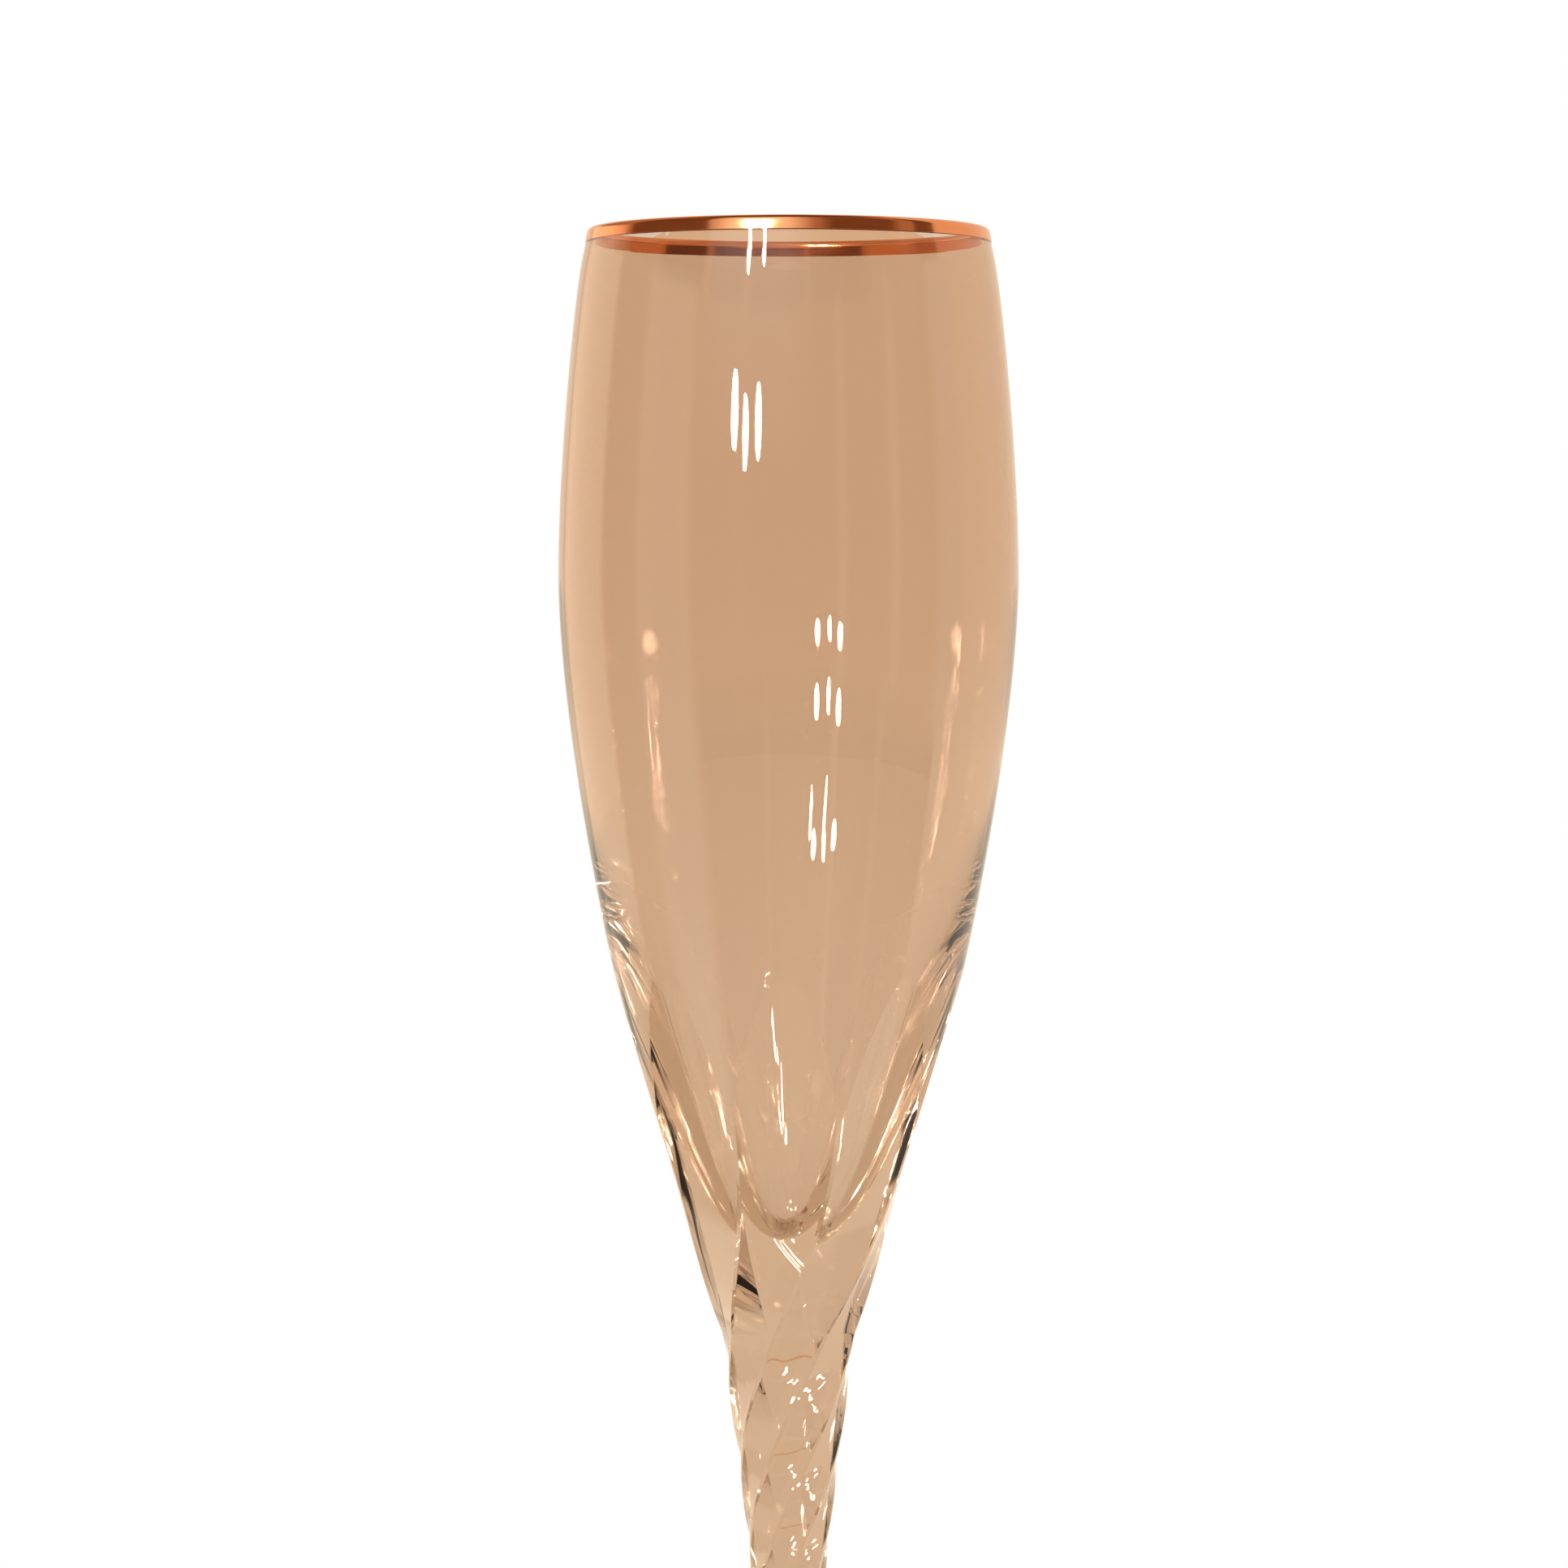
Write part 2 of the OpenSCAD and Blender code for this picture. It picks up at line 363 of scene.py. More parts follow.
# %% Tree that cuts the flats
def new_tree():
    """An empty tree with its named inputs."""
    tree = bpy.data.node_groups.new("cut_flats", "GeometryNodeTree")
    for name, kind, value in (("Geometry", "Geometry", None), ("Flats", "Int", flats),
                              ("Bevel width", "Float", arris), ("Glass", "Material", None),
                              ("Fused", "Material", None)):
        socket = tree.interface.new_socket(name, in_out="INPUT", socket_type="NodeSocket" + kind)
        if value is not None:
            socket.default_value = value
    tree.interface.new_socket("Geometry", in_out="OUTPUT", socket_type="NodeSocketGeometry")
    return tree


def plug(links, value, socket):
    """Links a socket to another, or gives it a plain value."""
    if isinstance(value, bpy.types.NodeSocket):
        links.new(value, socket)
    else:
        socket.default_value = value


def math_maker(tree):
    """A function that adds Math nodes to a tree."""
    def calc(operation, *values, clamp=False):
        node = tree.nodes.new("ShaderNodeMath")
        node.operation = operation
        node.use_clamp = clamp
        for value, socket in zip(values, node.inputs):
            plug(tree.links, value, socket)
        return node.outputs[0]
    return calc


# %% [markdown]
# Half of the octagon's side, less half of the bevel, is half of the flat. Where the round blank is narrower than
# the corner, the flat only reaches as far as the blank does. It never shrinks under a given share of its place,
# so that the columns stay spread where there is no flat at all.

# %% The rule of the cut
LEAST_SHARE = 0.45
LEAST_R = 1e-6


def cut_position(tree, count, bevel_width):
    """The socket that gives each vertex its place after the cut."""
    nodes, links, calc = tree.nodes, tree.links, math_maker(tree)

    def named(label):
        node = nodes.new("GeometryNodeInputNamedAttribute")
        node.data_type = "FLOAT"
        node.inputs["Name"].default_value = label
        return node.outputs["Attribute"]

    place = nodes.new("ShaderNodeSeparateXYZ")
    links.new(nodes.new("GeometryNodeInputPosition").outputs[0], place.inputs[0])
    x, y, z = place.outputs
    rho = calc("SQRT", calc("ADD", calc("MULTIPLY", x, x), calc("MULTIPLY", y, y)))
    half = calc("DIVIDE", math.pi, count)
    flat_r = named("flat_radius")
    bevel = calc("DIVIDE", calc("MULTIPLY", bevel_width, 0.5), calc("COSINE", half))
    half_w = calc("SUBTRACT", calc("MULTIPLY", flat_r, calc("TANGENT", half)), bevel)
    corner_r = calc("SQRT", calc("ADD", calc("MULTIPLY", flat_r, flat_r), calc("MULTIPLY", half_w, half_w)))
    round_r = calc("MINIMUM", rho, corner_r)
    share = calc("MINIMUM", calc("DIVIDE", flat_r, calc("MAXIMUM", round_r, LEAST_R)), 1.0)
    half_cut = calc("MAXIMUM", calc("ARCCOSINE", share), calc("MULTIPLY", half, LEAST_SHARE))
    across = named("across")
    size = calc("ABSOLUTE", across)
    on_flat = calc("MULTIPLY", calc("MINIMUM", size, 1.0), half_cut)
    past = calc("MAXIMUM", calc("SUBTRACT", size, 1.0), 0.0)
    on_bevel = calc("MULTIPLY", past, calc("SUBTRACT", half, half_cut))
    local = calc("MULTIPLY", calc("ADD", on_flat, on_bevel), calc("SIGN", across))
    radius = calc("MINIMUM", round_r, calc("DIVIDE", flat_r, calc("COSINE", local)))
    angle = calc("ADD", calc("ADD", named("facing"), named("turn")), local)
    join = nodes.new("ShaderNodeCombineXYZ")
    links.new(calc("MULTIPLY", radius, calc("COSINE", angle)), join.inputs[0])
    links.new(calc("MULTIPLY", radius, calc("SINE", angle)), join.inputs[1])
    links.new(z, join.inputs[2])
    return join.outputs[0]


def cut_tree():
    """Moves the vertices, then sets the two materials."""
    tree = new_tree()
    nodes, links = tree.nodes, tree.links
    given = nodes.new("NodeGroupInput").outputs
    move = nodes.new("GeometryNodeSetPosition")
    links.new(given["Geometry"], move.inputs["Geometry"])
    links.new(cut_position(tree, given["Flats"], given["Bevel width"]), move.inputs["Position"])
    real = nodes.new("GeometryNodeRealizeInstances")
    links.new(move.outputs[0], real.inputs[0])
    glass = nodes.new("GeometryNodeSetMaterial")
    links.new(real.outputs[0], glass.inputs["Geometry"])
    links.new(given["Glass"], glass.inputs["Material"])
    fused = nodes.new("GeometryNodeInputNamedAttribute")
    fused.data_type = "BOOLEAN"
    fused.inputs["Name"].default_value = "fused"
    seam = nodes.new("GeometryNodeSetMaterial")
    links.new(glass.outputs[0], seam.inputs["Geometry"])
    links.new(fused.outputs["Attribute"], seam.inputs["Selection"])
    links.new(given["Fused"], seam.inputs["Material"])
    links.new(seam.outputs[0], nodes.new("NodeGroupOutput").inputs[0])
    return tree


CUT = cut_tree()
print("cut_flats:", len(CUT.nodes), "nodes")


# %% [markdown]
# The tree runs as a modifier, whose inputs go by their identifiers. The evaluated result becomes a plain mesh,
# and only the corners that are steeper than a bevel's stay sharp in the shading.

# %% Cut a blank
SHARP = math.radians(50)


def cut(obj, glass):
    """Runs the tree on a blank and keeps the result as a plain mesh."""
    mod = obj.modifiers.new("cut", "NODES")
    mod.node_group = CUT
    ids = {s.name: s.identifier for s in CUT.interface.items_tree if s.in_out == "INPUT"}
    mod[ids["Flats"]] = flats
    mod[ids["Bevel width"]] = arris
    mod[ids["Glass"]] = glass
    mod[ids["Fused"]] = fused_glass
    seen = bpy.context.evaluated_depsgraph_get()
    mesh = bpy.data.meshes.new_from_object(obj.evaluated_get(seen))
    obj.modifiers.clear()
    rough = obj.data
    obj.data = mesh
    bpy.data.meshes.remove(rough)
    mesh.name = obj.name
    mesh.set_sharp_from_angle(angle=SHARP)
    print(f"{obj.name}: {len(mesh.polygons)} faces")


# %% [markdown]
# Three of the four finishes are the same worked glass. Hand work leaves slow ripples in it, too shallow to see as
# a shape but enough to make a highlight wander. A tint is painted on its skin to stand in for the backdrop seen
# through the clear glass, and it is painted a little deeper at the lip than at the foot. A node group holds both
# effects, so each piece places the same group with its own numbers. The group gives out only a tint and a height:
# the shader itself stays in each material.

# %% Group for worked glass and its painted tint
def ripple_and_painted_tint():
    """Painted tint for the backdrop seen through the glass, deeper higher up, and a slow ripple, for any
    hand-worked piece.
    """
    group = bpy.data.node_groups.new("ripple_and_painted_tint", "ShaderNodeTree")
    face = group.interface
    for name, kind, value in (("Low tint", "Color", (1, 1, 1, 1)), ("High tint", "Color", (1, 1, 1, 1)),
                              ("Low height", "Float", 0.0), ("High height", "Float", 1.0),
                              ("Skin", "Float", 1.0), ("Ripple scale", "Float", 60.0),
                              ("Ripple stretch", "Float", 0.4)):
        socket = face.new_socket(name, in_out="INPUT", socket_type="NodeSocket" + kind)
        socket.default_value = value
    for name, kind in (("Tint", "Color"), ("Height", "Float")):
        face.new_socket(name, in_out="OUTPUT", socket_type="NodeSocket" + kind)
    nodes, links = group.nodes, group.links
    given = nodes.new("NodeGroupInput").outputs
    coord = nodes.new("ShaderNodeTexCoord").outputs["Object"]
    place = nodes.new("ShaderNodeSeparateXYZ")
    links.new(coord, place.inputs[0])
    ramp = nodes.new("ShaderNodeMapRange")
    ramp.interpolation_type = "SMOOTHSTEP"
    links.new(place.outputs[2], ramp.inputs["Value"])
    links.new(given["Low height"], ramp.inputs["From Min"])
    links.new(given["High height"], ramp.inputs["From Max"])
    stretch = nodes.new("ShaderNodeCombineXYZ")
    for sideways in stretch.inputs[:2]:
        sideways.default_value = 1.0
    links.new(given["Ripple stretch"], stretch.inputs[2])
    drawn = nodes.new("ShaderNodeVectorMath")
    drawn.operation = "MULTIPLY"
    links.new(coord, drawn.inputs[0])
    links.new(stretch.outputs[0], drawn.inputs[1])
    noise = nodes.new("ShaderNodeTexNoise")
    noise.inputs["Detail"].default_value = 1.0
    links.new(drawn.outputs[0], noise.inputs["Vector"])
    links.new(given["Ripple scale"], noise.inputs["Scale"])
    # This tint is painted: it stands in for the backdrop seen through the clear glass, deeper towards the lip.
    tint = mix_colour(group, ramp.outputs["Result"], given["Low tint"], given["High tint"])
    skin = mix_colour(group, given["Skin"], (1, 1, 1, 1), tint)
    out = nodes.new("NodeGroupOutput").inputs
    links.new(skin, out["Tint"])
    links.new(noise.outputs["Fac"], out["Height"])
    return group


def mix_colour(tree, factor, a, b):
    """Adds a colour mix to a tree."""
    node = tree.nodes.new("ShaderNodeMix")
    node.data_type = "RGBA"
    for value, label in ((factor, "Factor"), (a, "A"), (b, "B")):
        plug(tree.links, value, node.inputs[label])
    return node.outputs["Result"]


SURFACE = ripple_and_painted_tint()
print("ripple_and_painted_tint:", len(SURFACE.nodes), "nodes")


# %% Helpers for materials
def material(name):
    """A new material, its tree and its Principled shader."""
    mat = bpy.data.materials.new(name)
    mat.use_nodes = True
    return mat, mat.node_tree, mat.node_tree.nodes["Principled BSDF"]


def place_surface(tree, **values):
    """Places the shared group in a material with its own numbers."""
    node = tree.nodes.new("ShaderNodeGroup")
    node.node_tree = SURFACE
    for name, value in values.items():
        plug(tree.links, value, node.inputs[name.replace("_", " ")])
    return node


def ripple(tree, surface, shader, depth):
    """Bends the shading by the surface's height."""
    bump = tree.nodes.new("ShaderNodeBump")
    bump.inputs["Distance"].default_value = depth
    tree.links.new(surface.outputs["Height"], bump.inputs["Height"])
    tree.links.new(bump.outputs["Normal"], shader.inputs["Normal"])


# %% [markdown]
# The glass is a full transmission shader with no roughness and the refractive index of crystal. Its base colour
# is a painted tint, which stands in for the warm backdrop seen through the clear glass. Light crosses the outer
# skin twice on its way through a piece, in and out, and each crossing takes the square root of the base colour, so
# the colour typed here is the colour seen through the piece. The foot lies on the floor, which it also shades, so
# the light there goes through it a second time: its painted tint is paler.

# %% Glass
# Painted tint: these colours stand in for the warm backdrop seen through the clear glass.
PAINTED_TINT_LIP = (0.60, 0.354, 0.205, 1)
PAINTED_TINT_BASE = (0.655, 0.425, 0.26, 1)
PAINTED_TINT_FOOT = (0.81, 0.65, 0.51, 1)
PAINTED_TINT_FROM, PAINTED_TINT_TO = cut_z - 0.015, belly_z + 0.01
CRYSTAL_IOR = 1.52


def glass_material(name, scale, stretch, depth, low_tint=PAINTED_TINT_BASE):
    """Clear glass with a tint painted on its skin for the backdrop seen through it, and a ripple of this scale,
    stretch and depth.
    """
    mat, tree, shader = material(name)
    shader.inputs["Transmission Weight"].default_value = 1.0
    shader.inputs["Roughness"].default_value = 0.0
    shader.inputs["IOR"].default_value = CRYSTAL_IOR
    # The attribute marks the outer skin, where the painted tint goes.
    skin = tree.nodes.new("ShaderNodeAttribute")
    skin.attribute_name = "painted_tint_mask"
    surface = place_surface(tree, Low_tint=low_tint, High_tint=PAINTED_TINT_LIP, Low_height=PAINTED_TINT_FROM,
                            High_height=PAINTED_TINT_TO, Skin=skin.outputs["Fac"], Ripple_scale=scale,
                            Ripple_stretch=stretch)
    tree.links.new(surface.outputs["Tint"], shader.inputs["Base Color"])
    ripple(tree, surface, shader, depth)
    return mat


bowl_glass = glass_material("bowl_glass", scale=60.0, stretch=0.5, depth=0.00002)
stem_glass = glass_material("stem_glass", scale=350.0, stretch=0.35, depth=0.00011)
foot_glass = glass_material("foot_glass", scale=50.0, stretch=1.0, depth=0.00002, low_tint=PAINTED_TINT_FOOT)
print("glass:", bowl_glass.name, stem_glass.name, foot_glass.name)

# %% [markdown]
# Where two pieces are fused there is no surface at all in the real glass. The flat faces that close each mesh
# there get a finish that lets everything through.

# %% Fused faces
fused_glass, _, fused_shader = material("fused_glass")
fused_shader.inputs["Alpha"].default_value = 0.0
print("fused faces:", fused_glass.name)

# %% [markdown]
# The band is bright gilding: copper-gold brushed on as a liquid and fired. It is close to a mirror, but the brush
# leaves it slightly uneven, so the ripple's height shifts both its colour and its roughness.

# %% Gilding
GILT_DEEP = (0.75, 0.27, 0.11, 1)
GILT_BRIGHT = (0.86, 0.34, 0.15, 1)
GILT_SMOOTH, GILT_ROUGH = 0.05, 0.16
BRUSH_DEPTH = 0.00001
gilding, gilding_tree, gilding_shader = material("gilt_band")
gilding_shader.inputs["Metallic"].default_value = 1.0
brushed = place_surface(gilding_tree, Ripple_scale=140.0, Ripple_stretch=6.0)
copper = mix_colour(gilding_tree, brushed.outputs["Height"], GILT_DEEP, GILT_BRIGHT)
gilding_tree.links.new(copper, gilding_shader.inputs["Base Color"])
uneven = gilding_tree.nodes.new("ShaderNodeMapRange")
uneven.inputs["To Min"].default_value = GILT_SMOOTH
uneven.inputs["To Max"].default_value = GILT_ROUGH
gilding_tree.links.new(brushed.outputs["Height"], uneven.inputs["Value"])
gilding_tree.links.new(uneven.outputs["Result"], gilding_shader.inputs["Roughness"])
ripple(gilding_tree, brushed, gilding_shader, BRUSH_DEPTH)
print("gilding:", len(gilding_tree.nodes), "nodes")

# %% [markdown]
# The bowl is one closed skin: a flat fused face below, the cut base, the blown wall, round the lip, down the
# inside and across the cavity's floor.

# %% Bowl
TO_AXIS = [0, 1, 1, 1, 1]
low = np.linspace(0, cut_h, BASE_STEPS + 1)[:-1]
blank_wall = np.stack([cut_r - (cut_h - low) * math.tan(blown_slope), bowl_joint_z + low], axis=1)
joint_row = cut_rows(blank_wall[:1])
bowl_rows = np.concatenate([
    joint_row * TO_AXIS,
    cut_rows(blank_wall),
    plain_rows(outside),
    plain_rows(lip_arc(wall / 2)),
    plain_rows(cavity, skin=0.0),
])
bowl = blank("flute_bowl", bowl_rows, {0})
cut(bowl, bowl_glass)

# %% [markdown]
# The stem is solid. Its blank is a plain taper that the flats cut away everywhere except at the very bottom,
# where a rounder column shows and the flats run out just above the foot.

# %% Stem
neck_high, neck_low = 0.008, 0.003
column = bezier([
    [waist_r + fade_grow, foot_joint_z + fade_h],
    [waist_r + fade_grow, foot_joint_z + neck_high],
    [boss_r - fade_grow, foot_joint_z + neck_low],
    [boss_r, foot_joint_z],
], steps=40)
column = np.concatenate([blank_wall[:1], column])[::-1]
stem_z = np.concatenate([flare[::-1, 1], taper[-2::-1, 1]])
stem_blank = np.stack([np.interp(stem_z, column[:, 1], column[:, 0]), stem_z], axis=1)
stem_skin = cut_rows(stem_blank)
stem_rows = np.concatenate([stem_skin[:1] * TO_AXIS, stem_skin, stem_skin[-1:] * TO_AXIS])
stem = blank("flute_stem", stem_rows, {0, len(stem_rows) - 2})
cut(stem, stem_glass)

# %% [markdown]
# The foot sweeps out from the stem to a thin rounded edge. It stands on a narrow ring and is hollowed inside it,
# so that the glass doesn't rock.

# %% Foot
sweep_out, sweep_down = 0.0022, 0.0044
skirt_out, skirt_up = 0.009, 0.0012
hollow_in, hollow_mid_r = 0.003, 0.010
EDGE_STEPS = 16
edge_r = foot_edge / 2
rest_r = foot_r - edge_r
foot_top = bezier([
    [boss_r, foot_joint_z],
    [boss_r + sweep_out, foot_joint_z - sweep_down],
    [boss_r + skirt_out, foot_edge + skirt_up],
    [rest_r, foot_edge],
])
half_round = np.linspace(math.pi / 2, -math.pi / 2, EDGE_STEPS + 1)[1:]
foot_round = np.stack([rest_r + edge_r * np.cos(half_round), edge_r + edge_r * np.sin(half_round)], axis=1)
hollow = bezier([
    [rest_r - rest_w, 0],
    [rest_r - rest_w - hollow_in, 0],
    [hollow_mid_r, kick],
    [0, kick],
], steps=50)
foot_line = np.concatenate([[[0, foot_joint_z]], foot_top, foot_round, hollow])[::-1]
foot = blank("flute_foot", plain_rows(foot_line), {len(foot_line) - 2})
cut(foot, foot_glass)

# %% [markdown]
# The band wraps the lip from the outside to the inside. It is a thin closed ring, swept round from one small
# section, and its back is bedded a hair into the glass so that no gap shows between the two.

# %% A closed ring


def ring_solid(name, section, count=256):
    """A closed ring swept from a closed section."""
    n = len(section)
    angles = np.linspace(0, 2 * math.pi, count, endpoint=False)
    verts = [(r * math.cos(a), r * math.sin(a), z) for a in angles for r, z in section]
    faces = []
    for i in range(count):
        j = (i + 1) % count
        for k in range(n):
            m = (k + 1) % n
            faces.append((i * n + k, j * n + k, j * n + m, i * n + m))
    mesh = bpy.data.meshes.new(name)
    mesh.from_pydata(verts, [], faces)
    mesh.shade_smooth()
    mesh.set_sharp_from_angle(angle=SHARP)
    obj = bpy.data.objects.new(name, mesh)
    bpy.context.scene.collection.objects.link(obj)
    print(f"{name}: {len(faces)} faces")
    return obj


# %% Band
BED = 0.00002
NEAR_ROUND = 0.0001
reach_out = band_out - wall / 2 - band_t
reach_in = band_in - wall / 2 - band_t
under = wall / 2 - BED
over = wall / 2 + band_t
outer_face = [lip_point(d, over) for d in (reach_out, reach_out / 2, NEAR_ROUND)]
inner_face = [lip_point(d, -over) for d in (NEAR_ROUND, reach_in / 2, reach_in)]
section = np.concatenate([
    outer_face,
    lip_arc(over),
    inner_face,
    [lip_point(reach_in, -under)],
    lip_arc(under)[::-1],
    [lip_point(reach_out, under)],
])
band = ring_solid("flute_rim_band", section)
band.data.materials.append(gilding)

# %% [markdown]
# Nothing on a flute moves, so all four pieces ride on the one body. Each stands for the CAD node of the same
# name, which is hidden.

# %% Join the frame
for piece, node, slot in ((bowl, "bowl", "bowl_glass"), (stem, "stem", "stem_glass"),
                          (foot, "foot", "foot_glass"), (band, "rim_band", "gilt_band")):
    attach(piece, "root")
    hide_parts(node)
    print(piece.name, "for", node)

# %% [markdown]
# The floor is a plain pale disc that turns white towards its edge, so that no line shows where it ends. Glass is
# drawn by what stands round it, so a bright floor would print a white patch on the lower bowl. Hiding the floor
# from reflections leaves the room there instead.

# %% Floor
FLOOR_R = 0.66
PALE_TO, WHITE_FROM = 0.1, 0.6
FLOOR_PALE, FLOOR_WHITE = 0.96, 1.0
circle = np.linspace(0, 2 * math.pi, 128, endpoint=False)
floor_mesh = bpy.data.meshes.new("floor")
floor_mesh.from_pydata([(FLOOR_R * math.cos(a), FLOOR_R * math.sin(a), 0) for a in circle], [], [range(128)])
floor = bpy.data.objects.new("floor", floor_mesh)
bpy.context.scene.collection.objects.link(floor)
floor_mat, floor_tree, floor_shader = material("floor")
from_middle = floor_tree.nodes.new("ShaderNodeVectorMath")
from_middle.operation = "LENGTH"
floor_tree.links.new(floor_tree.nodes.new("ShaderNodeTexCoord").outputs["Object"], from_middle.inputs[0])
pale = floor_tree.nodes.new("ShaderNodeMapRange")
for label, value in (("From Min", PALE_TO), ("From Max", WHITE_FROM),
                     ("To Min", FLOOR_PALE), ("To Max", FLOOR_WHITE)):
    pale.inputs[label].default_value = value
floor_tree.links.new(from_middle.outputs["Value"], pale.inputs["Value"])
floor_tree.links.new(pale.outputs["Result"], floor_shader.inputs["Base Color"])
floor_shader.inputs["Specular IOR Level"].default_value = 0.0
floor_mesh.materials.append(floor_mat)
floor.visible_glossy = False
print(f"floor {2 * FLOOR_R:.2f} across")

# %% [markdown]
# The light is a white cyclorama on every side, which is what shows through the glass. Mirror-like surfaces would
# look dead in it, so a ray that has been mirrored meets a warm room instead, painted on the world by direction:
# tall soft windows that give the long upright sheens, and dark gaps that give the gilding its contrast.

# %% Directions in the room
world = bpy.data.worlds.new("studio")
bpy.context.scene.world = world
world.use_nodes = True
room_tree = world.node_tree
room_calc = math_maker(room_tree)
way = room_tree.nodes.new("ShaderNodeSeparateXYZ")
room_tree.links.new(room_tree.nodes.new("ShaderNodeTexCoord").outputs["Generated"], way.inputs[0])
in_degrees = 180 / math.pi
front = room_calc("MULTIPLY", way.outputs[1], -1.0)
azimuth = room_calc("MULTIPLY", room_calc("ARCTAN2", way.outputs[0], front), in_degrees)
elevation = room_calc("MULTIPLY", room_calc("ARCSINE", way.outputs[2]), in_degrees)
print("world:", world.name)


def patch(across, up, soft):
    """A mask over a range of azimuth and elevation, in degrees, with soft edges."""
    masks = []
    for value, (low_end, high_end) in ((azimuth, across), (elevation, up)):
        off = room_calc("ABSOLUTE", room_calc("SUBTRACT", value, (low_end + high_end) / 2))
        inside_by = room_calc("DIVIDE", room_calc("SUBTRACT", (high_end - low_end) / 2, off), soft)
        masks.append(room_calc("ADD", inside_by, 0.5, clamp=True))
    return room_calc("MULTIPLY", *masks)


# %% [markdown]
# Each patch has its range of azimuth, its range of elevation, its tone and the width of its soft edge. Azimuth 0
# is the side that the camera is on. Later patches lie over earlier ones.

# %% Paint the room
WALL = (0.50, 0.34, 0.23, 1)
PALE = (1.0, 0.85, 0.67, 1)
WINDOW = (1.5, 1.25, 0.95, 1)
BRIGHT = (1.3, 1.4, 1.4, 1)
BROWN = (0.20, 0.11, 0.06, 1)
SLIT = (0.85, 0.70, 0.55, 1)
DARK = (0.14, 0.08, 0.045, 1)
ROOM = [
    ((-81, -50), (-40, 17), PALE, 5),
    ((-150, -106), (-40, 17), WINDOW, 4),
    ((-180, -150), (-60, 60), PALE, 8),
    ((26, 31), (-40, 40), SLIT, 3),
    ((54, 59), (-40, 40), SLIT, 3),
    ((82, 181), (-50, 60), PALE, 8),
    ((-42, 8), (17, 60), BRIGHT, 18),
    ((-102, -47), (17, 60), BROWN, 2),
    ((23, 68), (17, 60), BROWN, 8),
    ((80, 95), (17, 60), BROWN, 2),
    ((-181, 181), (64, 120), DARK, 6),
]
SHELVES = [
    ((-46, -12), (-32, -11), DARK, 2),
    ((-9, 24), (-32, -11), DARK, 2),
    ((28, 49), (-32, -11), DARK, 2),
    ((53, 86), (-32, -11), DARK, 2),
]


def painted(tone, patches):
    """A tone with patches painted over it."""
    for across, up, colour, soft in patches:
        tone = mix_colour(room_tree, patch(across, up, soft), tone, colour)
    return tone


print("room:", len(ROOM), "patches and", len(SHELVES), "shelves")

# %% [markdown]
# The Light Path node tells which room a ray meets. A mirrored ray has a glossy depth. One that was also in glass
# would pick up the dark gaps too hard, so its room is paler. The low shelves are painted after that, because the
# far side of the gilding shows them through the glass, dark and sharp. A ray that went through only one wall of
# the bowl, high up, looks out through the mouth at a warm far wall. That wall is only a narrow strip, and its
# place is set for this camera: in x, as a share of the ray's direction, and in degrees up.

# %% Choose what a ray meets
ONCE = 0.5
PALER_BY, PALER_TONE = 0.6, (0.95, 0.88, 0.80, 1)
WHITE = (1, 1, 1, 1)
FAR_WALL = (0.92, 0.71, 0.53, 1)
FAR_WALL_X, FAR_WALL_HALF = -0.0227, 0.07
FAR_WALL_UP, FAR_WALL_UP_HALF = 3.98, 0.14
TWO_CROSSINGS = 2.5
path = room_tree.nodes.new("ShaderNodeLightPath").outputs
mirrored = room_calc("GREATER_THAN", path["Glossy Depth"], ONCE)
in_glass = room_calc("GREATER_THAN", path["Transmission Depth"], ONCE)
paler = room_calc("MULTIPLY", in_glass, PALER_BY)
room = mix_colour(room_tree, paler, painted(WALL, ROOM), PALER_TONE)
room = painted(room, SHELVES)
one_wall = room_calc("MULTIPLY", in_glass, room_calc("LESS_THAN", path["Transmission Depth"], TWO_CROSSINGS))
far_wall = room_calc("MULTIPLY", room_calc("COMPARE", way.outputs[0], FAR_WALL_X, FAR_WALL_HALF),
                     room_calc("COMPARE", elevation, FAR_WALL_UP, FAR_WALL_UP_HALF))
behind = room_calc("MULTIPLY", far_wall, room_calc("GREATER_THAN", way.outputs[1], 0.0))
mouth = room_calc("MULTIPLY", one_wall, behind)
beyond = mix_colour(room_tree, mouth, WHITE, FAR_WALL)
seen_colour = mix_colour(room_tree, mirrored, beyond, room)
room_tree.links.new(seen_colour, room_tree.nodes["Background"].inputs["Color"])
print("world:", len(room_tree.nodes), "nodes")

# %% [markdown]
# Five lamps give the sharp highlights: three small ones hang low and close together, and two tall ones hang
# higher. They are left out of the diffuse light, which the world already gives, so the floor stays even. Each row
# gives a lamp's azimuth and elevation in degrees, then its width and height.

# %% Lamps
LAMP_FAR = 2.0
AIM = Vector((0, 0, 0.2))


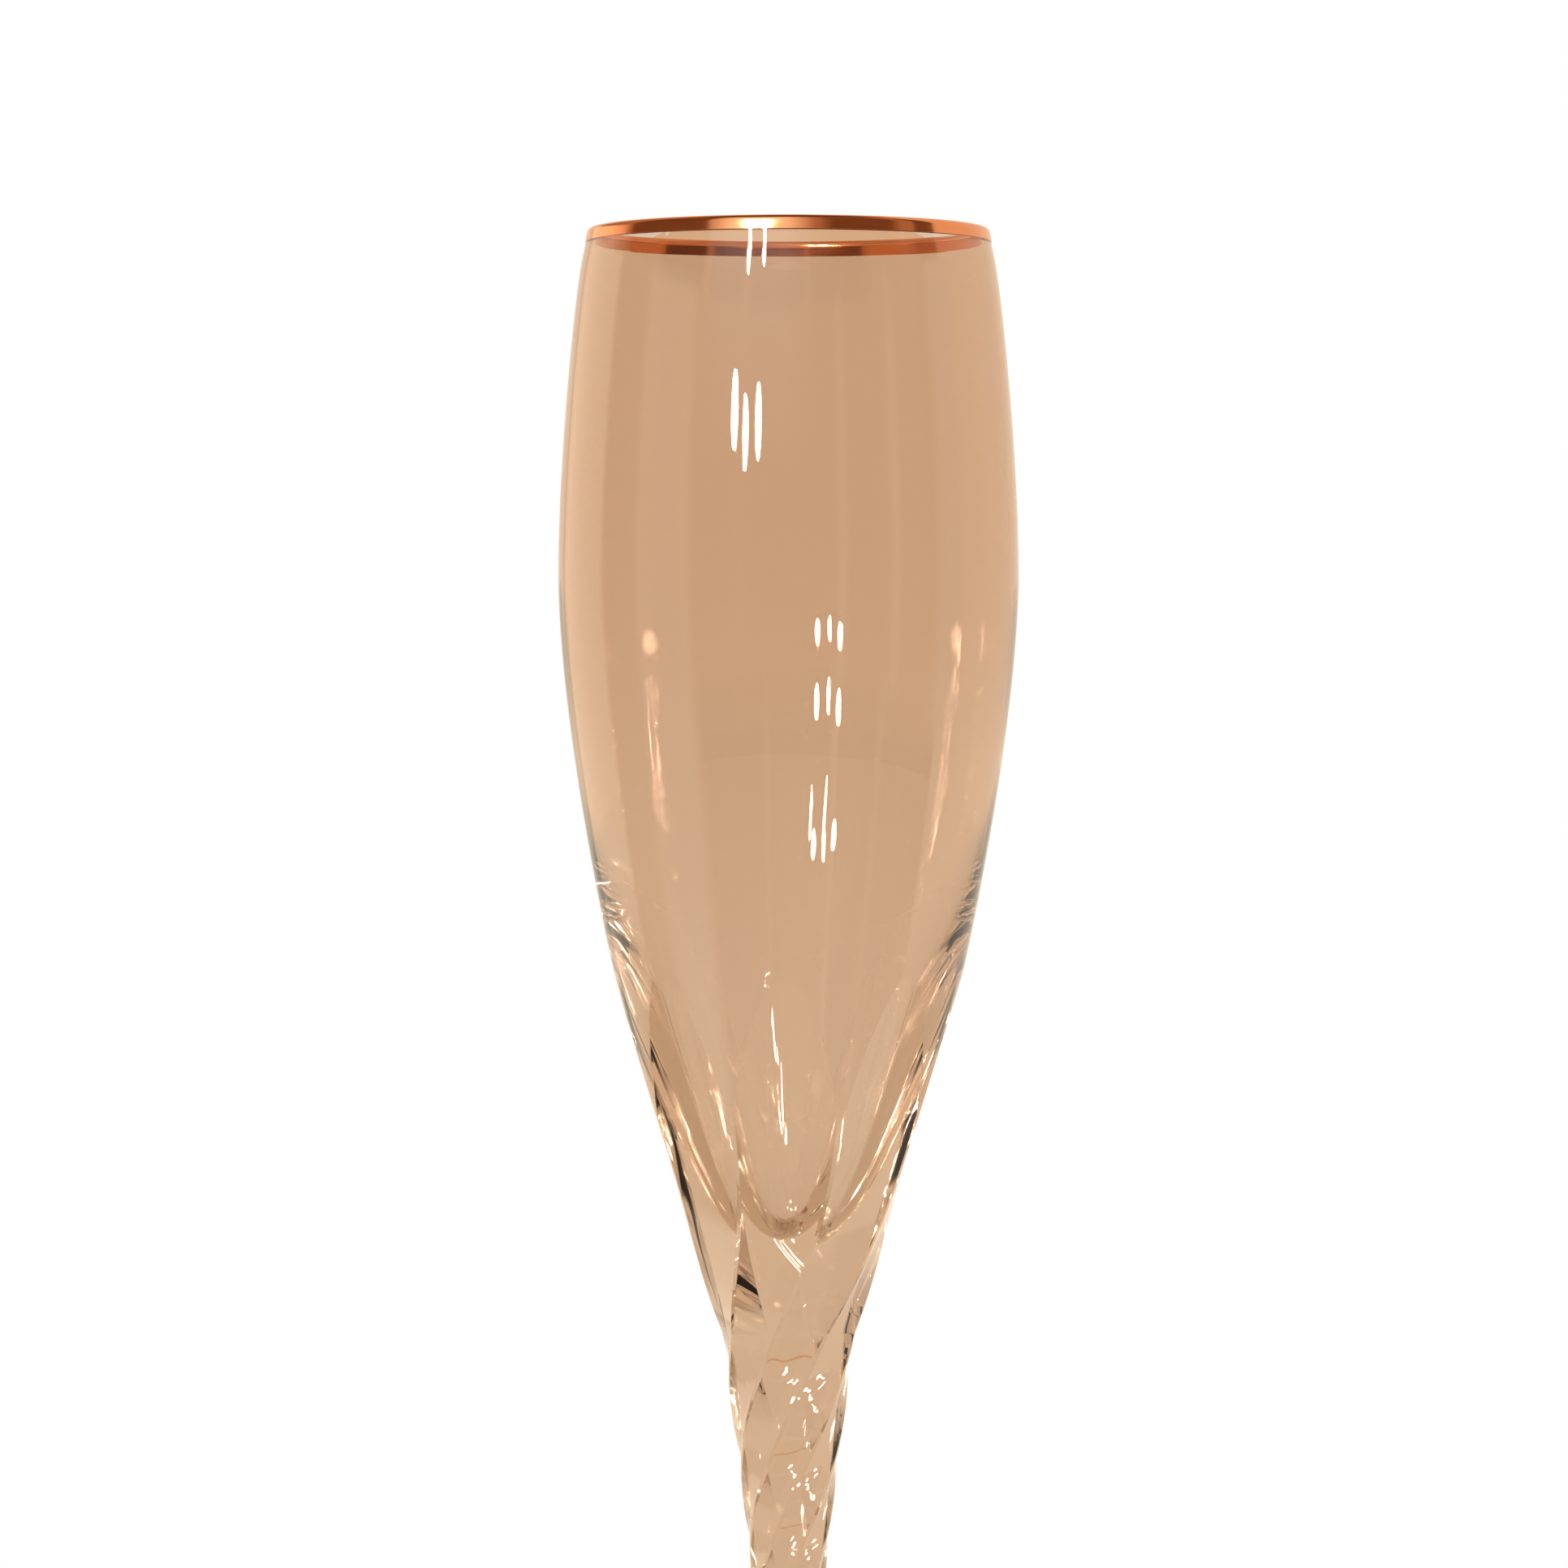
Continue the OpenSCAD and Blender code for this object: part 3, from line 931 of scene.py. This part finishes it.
def lamp(name, azimuth_deg, elevation_deg, wide, tall, radiance=350):
    """An elliptical lamp, by its direction from the glass. Its power gives the radiance a mirror would show."""
    light = bpy.data.lights.new(name, "AREA")
    light.shape = "ELLIPSE"
    light.size = wide
    light.size_y = tall
    light.energy = radiance * math.pi**2 * wide * tall / 4
    obj = bpy.data.objects.new(name, light)
    bpy.context.scene.collection.objects.link(obj)
    a, e = math.radians(azimuth_deg), math.radians(elevation_deg)
    toward = Vector((math.sin(a) * math.cos(e), -math.cos(a) * math.cos(e), math.sin(e)))
    obj.location = AIM + LAMP_FAR * toward
    obj.rotation_euler = (-toward).to_track_quat("-Z", "Y").to_euler()
    obj.visible_camera = False
    obj.visible_diffuse = False


LAMPS = [(-26.8, 11.2, 0.09, 0.13), (-20.7, 10.2, 0.09, 0.13), (-14.0, 10.8, 0.09, 0.13),
         (-21.0, 24, 0.05, 0.34), (-12.5, 24.5, 0.05, 0.28)]
for number, values in enumerate(LAMPS):
    lamp(f"lamp_{number + 1}", *values)
print("lamps:", len(LAMPS))

# %% [markdown]
# The camera stands level, a little above the cut base, about a metre away, with a long lens that frames the glass
# from the lip down to the thin part of its stem.

# %% Camera
CAMERA_FAR = 0.995
CAMERA_Z = 0.1700
CAMERA_SIDE = -0.00056
CAMERA_TURN = math.radians(1.3)
LENS = 181.3
lens = bpy.data.cameras.new("camera")
lens.sensor_width = 36
lens.lens = LENS
camera = bpy.data.objects.new("camera", lens)
bpy.context.scene.collection.objects.link(camera)
sin_turn, cos_turn = math.sin(CAMERA_TURN), math.cos(CAMERA_TURN)
camera.location = (CAMERA_FAR * sin_turn + CAMERA_SIDE * cos_turn,
                   CAMERA_SIDE * sin_turn - CAMERA_FAR * cos_turn, CAMERA_Z)
camera.rotation_euler = (math.pi / 2, 0, CAMERA_TURN)
bpy.context.scene.camera = camera
print(f"camera {CAMERA_Z:.3f} up, lens {LENS:.0f} mm")

# %% [markdown]
# Clear glass needs many bounces, because a ray crosses four surfaces only to pass through the bowl. The lamps
# stay as bright in a second reflection as in the first, so indirect light isn't limited. The plain Standard view
# keeps the white ground white.

# %% Light paths and view
scene = bpy.context.scene
scene.view_settings.view_transform = "Standard"
scene.cycles.max_bounces = 24
scene.cycles.transmission_bounces = 24
scene.cycles.glossy_bounces = 12
scene.cycles.transparent_max_bounces = 16
scene.cycles.sample_clamp_indirect = 0
print("bounces:", scene.cycles.max_bounces)
